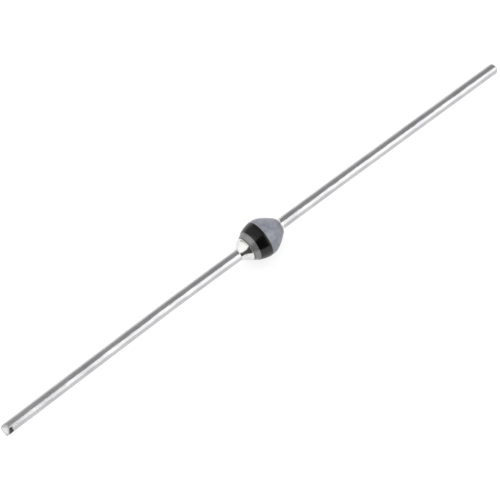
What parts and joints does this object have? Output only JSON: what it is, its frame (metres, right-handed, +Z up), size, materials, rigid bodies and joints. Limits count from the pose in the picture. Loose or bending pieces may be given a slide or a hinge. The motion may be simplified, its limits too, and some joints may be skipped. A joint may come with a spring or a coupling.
{
  "type": "axial rectifier diode",
  "caption": "Rectifier diode in a rounded grey glass bead with a black cathode band and a tinned wire lead out of each end; passes current one way only.",
  "frame": {"origin": "on the lead axis, in the middle of the glass bead and half way between the two lead tips", "axes": "+X along the leads towards the anode lead, so the cathode band is on the -X side; +Z up, with both leads drooping slightly towards -Z; Y across the bead"},
  "size_m": [0.061, 0.0038, 0.0038],
  "materials": {
    "bead_glass": "opaque lavender-grey sintered glass, fire-polished gloss",
    "band_paint": "glossy black fired paint",
    "tinned_wire": "bright tin plate with fine drawing marks",
    "bright_braze": "smooth, mirror-bright tinned braze",
    "molybdenum": "grey ground metal",
    "braze_disc": "dull aluminium braze foil",
    "silicon": "dark grey lapped silicon"
  },
  "bodies": {
    "root": {"glass_bead": "bead_glass", "cathode_band": "band_paint", "cathode_stud": "molybdenum", "cathode_braze_disc": "braze_disc", "silicon_die": "silicon", "anode_braze_disc": "braze_disc", "anode_stud": "molybdenum", "cathode_collar": "bright_braze", "anode_collar": "bright_braze", "cathode_lead": "tinned_wire", "anode_lead": "tinned_wire"}
  },
  "joints": []
}
